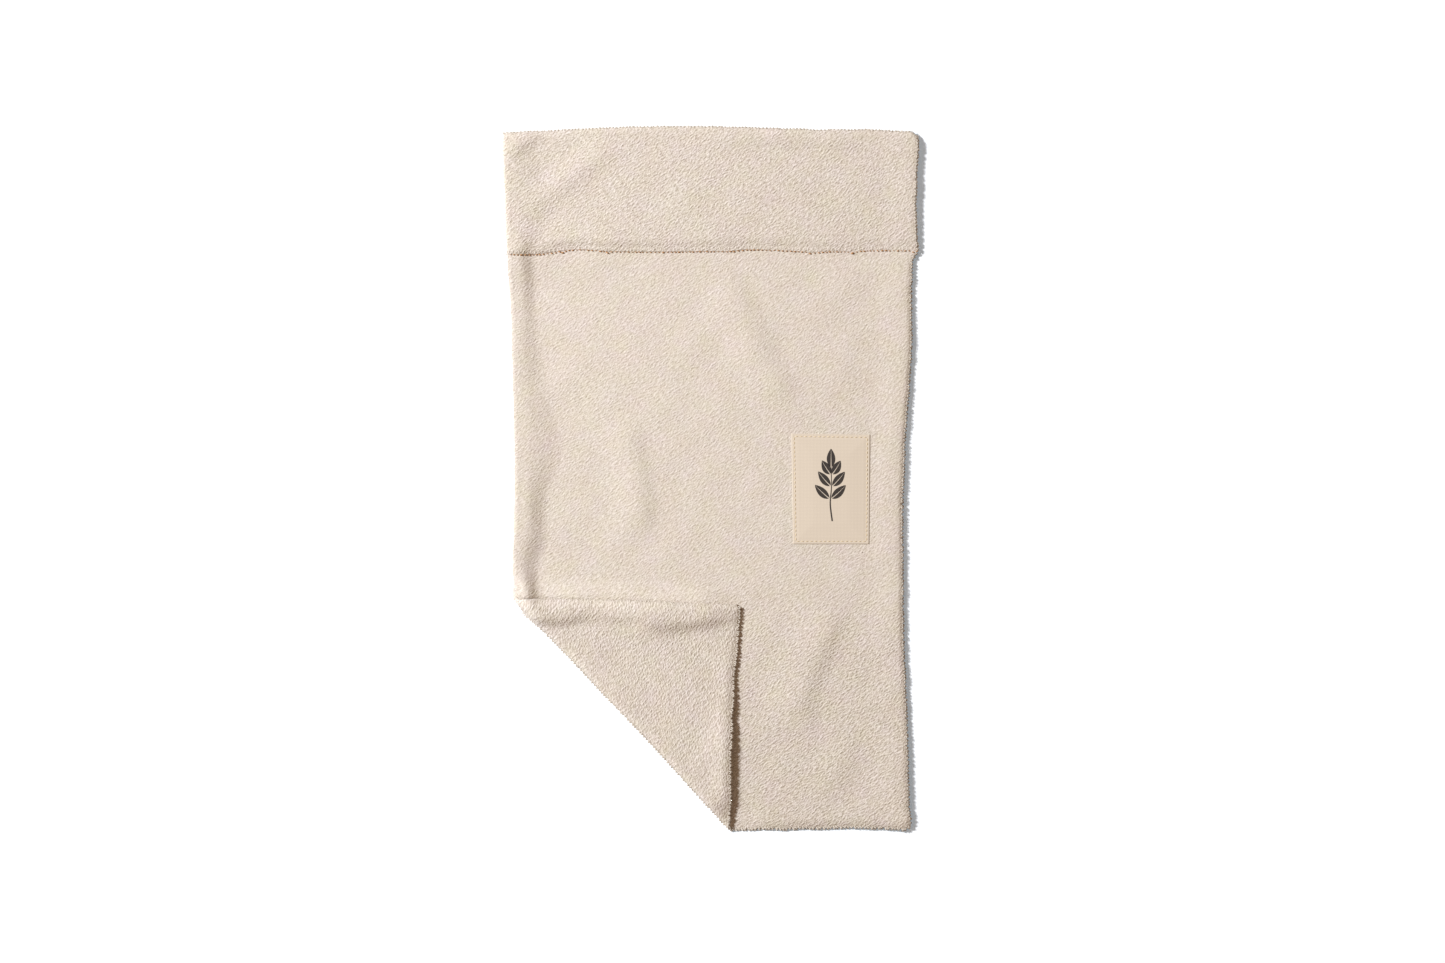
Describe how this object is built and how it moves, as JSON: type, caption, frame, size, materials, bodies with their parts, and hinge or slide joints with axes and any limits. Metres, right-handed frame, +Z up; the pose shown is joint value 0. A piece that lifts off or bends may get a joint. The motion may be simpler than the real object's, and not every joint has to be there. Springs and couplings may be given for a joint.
{
  "type": "vegetable storage bag",
  "caption": "Flat pouch of thick cotton terry for keeping vegetables, its mouth turned down as a cuff, a sewn label on its front and a corner folded over.",
  "frame": {"origin": "on the floor under the middle of the bag", "axes": "+Y towards the bag's mouth, +Z up out of its front, +X to the right seen from above"},
  "size_m": [0.2858, 0.4877, 0.0116],
  "materials": {
    "french_terry": "undyed looped cotton terry, matt",
    "cotton_label": "plain woven cotton, matt"
  },
  "bodies": {
    "root": {"bag_cloth": "french_terry", "label": "cotton_label"}
  },
  "joints": []
}
